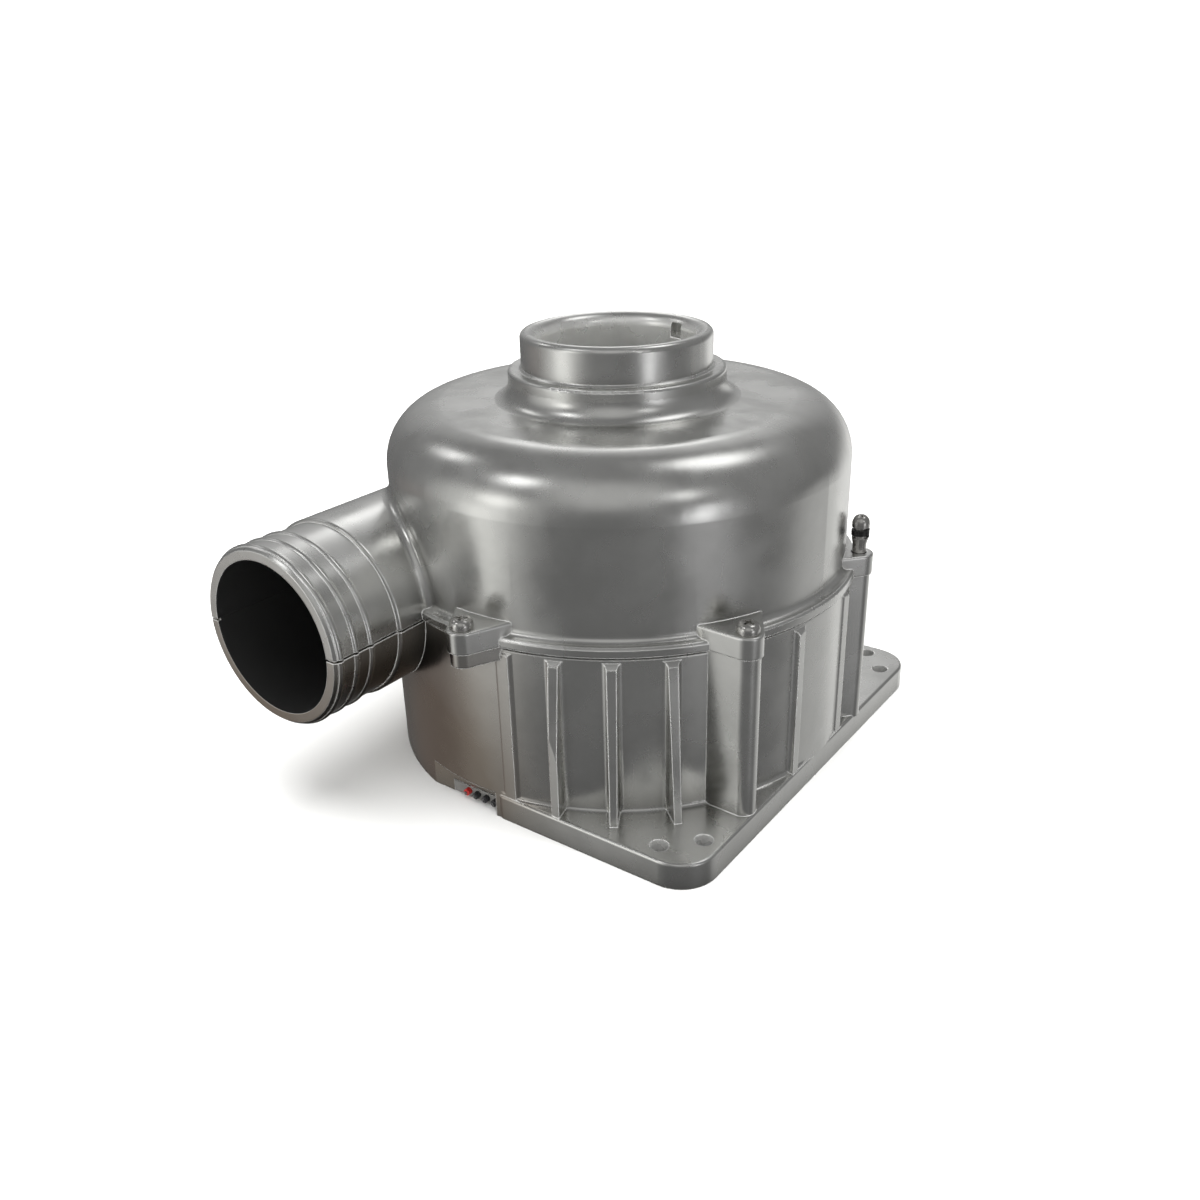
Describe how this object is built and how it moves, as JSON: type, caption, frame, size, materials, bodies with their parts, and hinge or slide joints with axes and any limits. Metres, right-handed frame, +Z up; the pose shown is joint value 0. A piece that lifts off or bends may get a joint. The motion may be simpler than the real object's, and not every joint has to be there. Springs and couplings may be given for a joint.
{
  "type": "centrifugal blower",
  "caption": "Compact high-pressure centrifugal blower: cast domed housing with a round top inlet, a tangential side outlet tube, a square base plate and a brushless motor.",
  "frame": {"origin": "on the rotor axis, at the underside of the base", "axes": "+Z up along the rotor axis, out of the inlet; the outlet points along -Y, on the -X side"},
  "size_m": [0.0981, 0.1108, 0.08],
  "materials": {
    "cast_alloy": "satin",
    "screw_steel": "satin",
    "impeller_alloy": "satin",
    "black_plastic": "matte",
    "cap_alloy": "satin",
    "ground_steel": "polished",
    "magnet_coat": "satin",
    "sleeve_steel": "satin",
    "lamination_steel": "satin",
    "insulator_plastic": "matte",
    "copper_wire": "gloss",
    "board_green": "gloss",
    "dark_rubber": "matte",
    "red_wire": "gloss",
    "dark_wire": "gloss"
  },
  "bodies": {
    "housing": {"upper_housing": "cast_alloy", "lower_housing": "cast_alloy", "housing_gasket": "dark_rubber", "short_lug_screws": "screw_steel", "long_lug_screws": "screw_steel", "raised_lug_screw": "screw_steel", "inlet_nozzle": "black_plastic", "nozzle_screws": "screw_steel", "bearing_outer_rings": "ground_steel", "bearing_balls": "ground_steel", "wave_spring": "ground_steel", "stator_core": "lamination_steel", "stator_insulators": "insulator_plastic", "stator_coils": "copper_wire", "motor_end_cap": "cap_alloy", "end_cap_screws": "screw_steel", "driver_board": "board_green", "capacitors": "cap_alloy", "power_transistors": "black_plastic", "controller_chip": "black_plastic", "cable_grommet": "dark_rubber", "red_lead": "red_wire", "dark_leads": "dark_wire", "bottom_cover": "cap_alloy", "cover_screws": "screw_steel"},
    "rotor": {"shaft": "ground_steel", "impeller_disc": "impeller_alloy", "impeller_shroud": "impeller_alloy", "impeller_nut": "screw_steel", "impeller_washer": "screw_steel", "impeller_collar": "ground_steel", "spacer_washers": "ground_steel", "rotor_core": "ground_steel", "rotor_magnets": "magnet_coat", "magnet_sleeve": "sleeve_steel", "bearing_inner_rings": "ground_steel"}
  },
  "joints": [
    {"name": "rotor_spin", "type": "hinge", "parent": "housing", "child": "rotor", "pos_m": [0, 0, 0.028], "axis": [0, 0, 1], "continuous": true}
  ]
}
